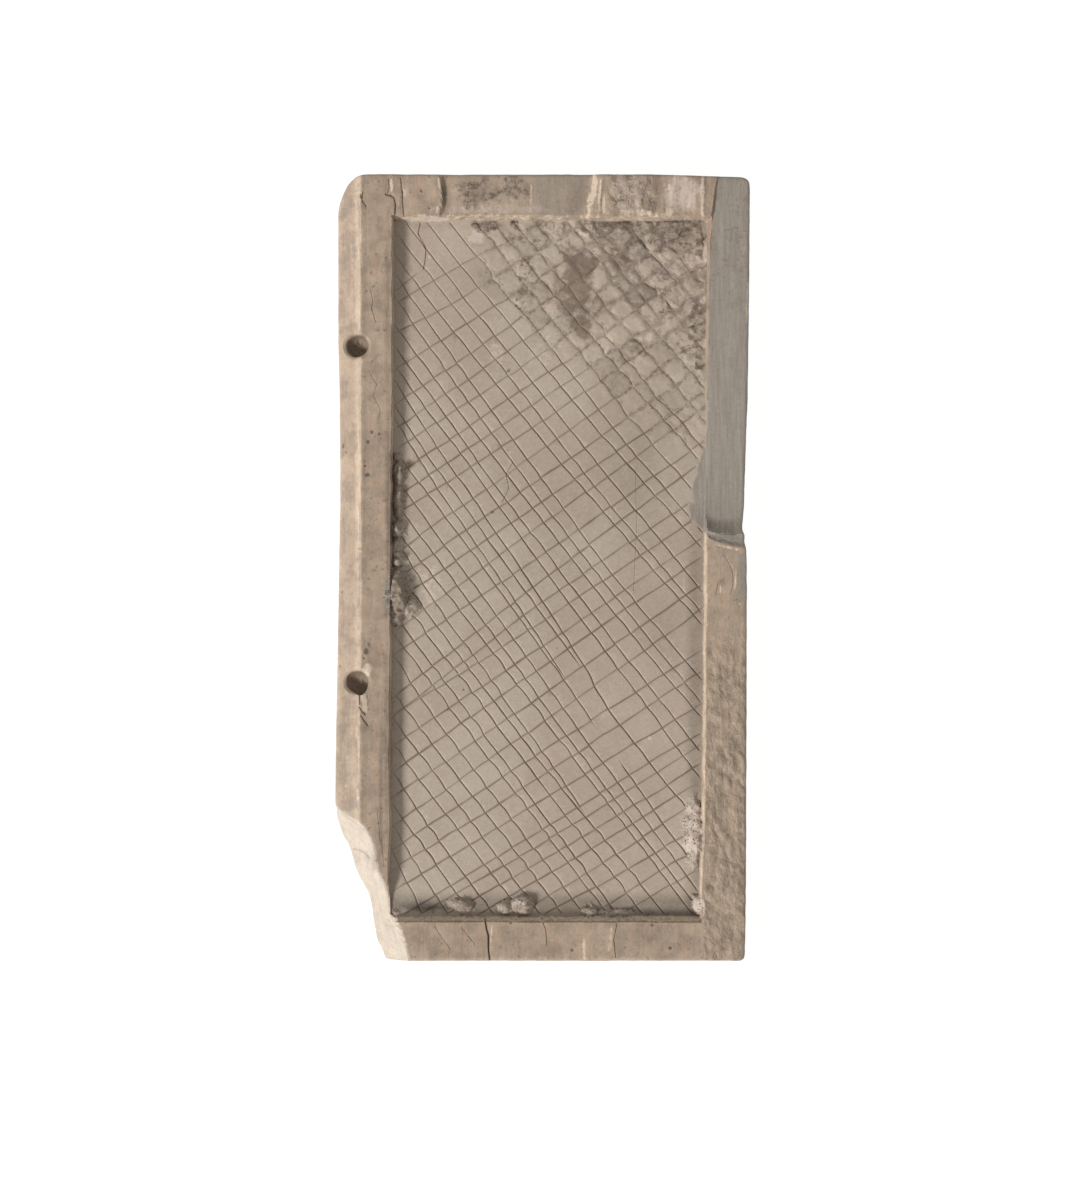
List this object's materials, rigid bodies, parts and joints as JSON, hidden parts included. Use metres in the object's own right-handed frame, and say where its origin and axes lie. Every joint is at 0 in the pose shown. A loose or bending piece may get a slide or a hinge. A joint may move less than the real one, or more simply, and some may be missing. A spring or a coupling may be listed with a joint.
{
  "type": "writing tablet",
  "caption": "Small ivory leaf of a folding writing tablet: a raised frame round a sunk floor scored with crossing strokes, a bevelled edge with lacing holes and a broken corner.",
  "frame": {"origin": "centre of the leaf's footprint, on the plane that its flat back lies on", "axes": "+X to the right of the writing face, away from the hinge edge; +Y to the top of the leaf along its length; +Z out of the writing face"},
  "size_m": [0.044, 0.0832, 0.006],
  "materials": {
    "ivory": "aged matt ivory with brown dirt in its scored strokes"
  },
  "bodies": {
    "root": {"writing_tablet": "ivory"}
  },
  "joints": []
}
